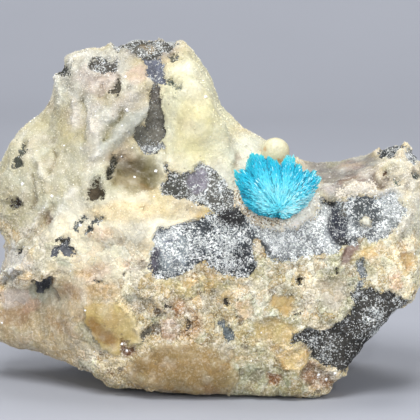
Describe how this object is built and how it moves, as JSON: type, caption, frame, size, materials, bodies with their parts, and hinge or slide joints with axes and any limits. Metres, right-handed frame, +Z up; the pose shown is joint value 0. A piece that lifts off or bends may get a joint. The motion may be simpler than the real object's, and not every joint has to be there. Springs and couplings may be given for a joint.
{
  "type": "cavansite specimen",
  "caption": "Mineral specimen: a bright blue fan of radiating cavansite blades on the ledge of a rough block of cream zeolite and dark basalt, standing on its flat foot.",
  "frame": {"origin": "on the surface that the block stands on, inside its flat foot, below the middle of the block", "axes": "+Z up; +X to the right of the show face, along the block's length; the show face looks towards -Y"},
  "size_m": [0.0643, 0.0303, 0.0489],
  "materials": {
    "matrix": "cream to amber drusy zeolite crust over broken, speckled dark grey basalt; rough, with tiny sparkling crystal faces",
    "cavansite": "bright cerulean blue, glassy to silky blades, paler towards the root"
  },
  "bodies": {
    "root": {"matrix_block": "matrix", "cavansite_fan": "cavansite"}
  },
  "joints": []
}
